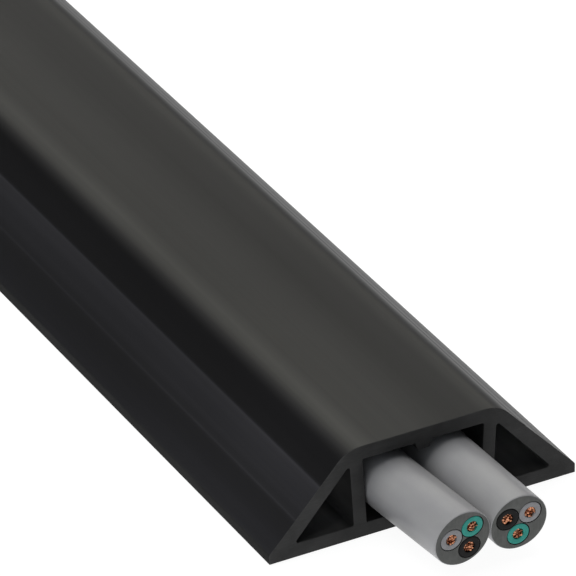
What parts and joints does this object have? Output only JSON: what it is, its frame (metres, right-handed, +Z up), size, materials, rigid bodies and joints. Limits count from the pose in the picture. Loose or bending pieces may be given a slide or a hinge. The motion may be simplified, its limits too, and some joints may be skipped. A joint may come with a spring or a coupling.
{
  "type": "cable protector ramp",
  "caption": "Low rubber floor ramp with a flat top, two slopes, a middle channel carrying two round grey cords with cut ends, and a hollow triangular duct in each slope.",
  "frame": {"origin": "on the floor plane, in the middle of the duct's width and length", "axes": "+Z up, +Y along the duct away from the end whose cords bend, +X to the right seen from that end"},
  "size_m": [0.07, 0.9616, 0.0212],
  "materials": {
    "duct_rubber": "satin",
    "jacket_grey": "satin",
    "insulation_green": "satin",
    "insulation_white": "satin",
    "insulation_black": "satin",
    "copper": "bright"
  },
  "bodies": {
    "duct": {"left_ramp": "duct_rubber", "right_ramp": "duct_rubber", "channel_roof": "duct_rubber"},
    "left_flap": {"left_base_flap": "duct_rubber"},
    "right_flap": {"right_base_flap": "duct_rubber"},
    "left_cable": {"left_cable_jacket": "jacket_grey", "left_green_insulation": "insulation_green", "left_green_conductor": "copper", "left_white_insulation": "insulation_white", "left_white_conductor": "copper", "left_black_insulation": "insulation_black", "left_black_conductor": "copper"},
    "right_cable": {"right_cable_jacket": "jacket_grey", "right_green_insulation": "insulation_green", "right_green_conductor": "copper", "right_white_insulation": "insulation_white", "right_white_conductor": "copper", "right_black_insulation": "insulation_black", "right_black_conductor": "copper"}
  },
  "joints": [
    {"name": "left_flap_hinge", "type": "hinge", "parent": "duct", "child": "left_flap", "pos_m": [-0.013, 0, 0], "axis": [0, 1, 0], "range_deg": [0, 60], "stiffness_Nm_per_rad": 0.2, "springref_deg": -1.72},
    {"name": "right_flap_hinge", "type": "hinge", "parent": "duct", "child": "right_flap", "pos_m": [0.013, 0, 0], "axis": [0, -1, 0], "range_deg": [0, 60], "stiffness_Nm_per_rad": 0.2, "springref_deg": -1.72},
    {"name": "right_cable_slide", "type": "slide", "parent": "duct", "child": "right_cable", "axis": [0, -1, 0], "range_m": [0, 0.95]},
    {"name": "left_cable_slide", "type": "slide", "parent": "right_cable", "child": "left_cable", "axis": [0, -1, 0], "range_m": [0, 0.95]}
  ]
}
